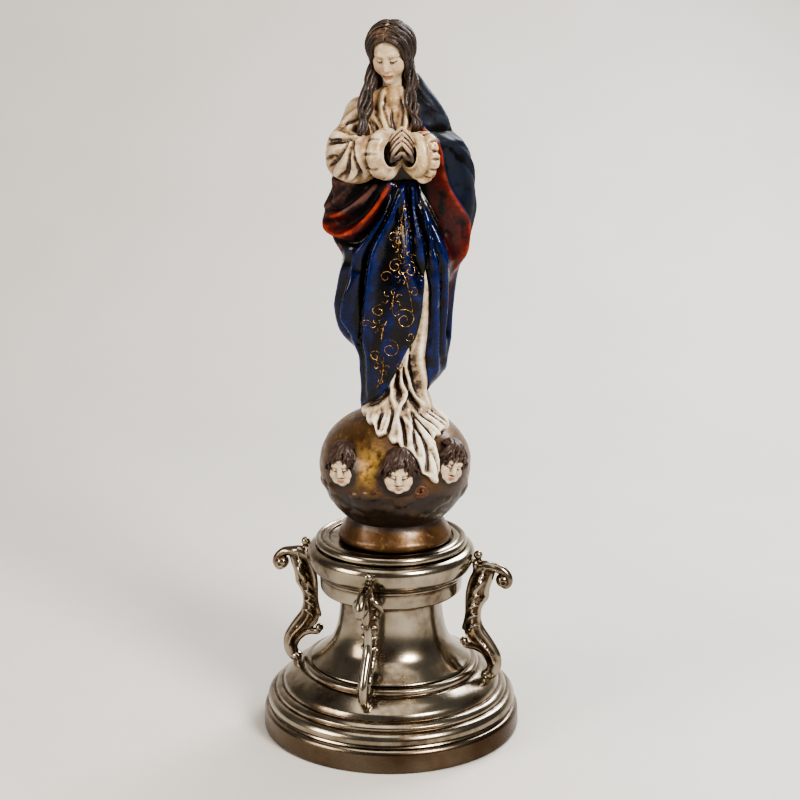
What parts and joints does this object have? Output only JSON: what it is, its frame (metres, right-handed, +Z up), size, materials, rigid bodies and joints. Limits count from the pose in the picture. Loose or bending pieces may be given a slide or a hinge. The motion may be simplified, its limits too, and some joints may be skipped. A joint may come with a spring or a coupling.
{
  "type": "madonna statue",
  "caption": "Painted standing devotional figure with joined hands, on a globe with cherub heads, on a turned silver-plated pedestal with scroll brackets.",
  "frame": {"origin": "centre of the pedestal's underside, on the surface it stands on", "axes": "+Z up along the pedestal's axis, -Y towards the front that the figure faces, +X to the viewer's right"},
  "size_m": [0.126, 0.126, 0.3429],
  "materials": {
    "felt": "wool felt",
    "steel": "plain turned steel, dulled",
    "silver_plate": "silver plate over spun and cast brass, polished, tarnished brown in the recesses",
    "gilding": "carved wood, dark antique gilding",
    "flesh_paint": "carved wood, ivory flesh paint with a brown wash",
    "dowel_wood": "plain turned wood",
    "cream_paint": "carved wood, cream paint with a dark brown wash in the folds",
    "hair_paint": "carved wood, very dark brown paint, satin",
    "blue_paint": "carved wood, deep blue glaze with gold scrollwork and a red lining, glossy varnish"
  },
  "bodies": {
    "pedestal": {"felt_pad": "felt", "closing_plate": "steel", "foot_ring": "silver_plate", "column": "silver_plate", "cornice": "silver_plate", "dais": "silver_plate", "tie_rod": "steel", "foot_washer": "steel", "seat_washer": "steel", "foot_nut": "steel", "seat_nut": "steel", "bracket_front": "silver_plate", "bracket_right": "silver_plate", "bracket_back": "silver_plate", "bracket_left": "silver_plate", "lower_screw_front": "steel", "lower_screw_right": "steel", "lower_screw_back": "steel", "lower_screw_left": "steel", "upper_screw_front": "steel", "upper_screw_right": "steel", "upper_screw_back": "steel", "upper_screw_left": "steel"},
    "figure": {"globe": "gilding", "cherub_left": "flesh_paint", "cherub_centre": "flesh_paint", "cherub_right": "flesh_paint", "figure_dowel": "dowel_wood", "gown_skirt": "cream_paint", "bodice": "cream_paint", "head": "flesh_paint", "hand_right": "flesh_paint", "hand_left": "flesh_paint", "sleeve_right": "cream_paint", "sleeve_left": "cream_paint", "hair": "hair_paint", "mantle": "blue_paint"}
  },
  "joints": [
    {"name": "figure_lift", "type": "slide", "parent": "pedestal", "child": "figure", "axis": [0, 0, 1], "range_m": [0, 0.04]}
  ]
}
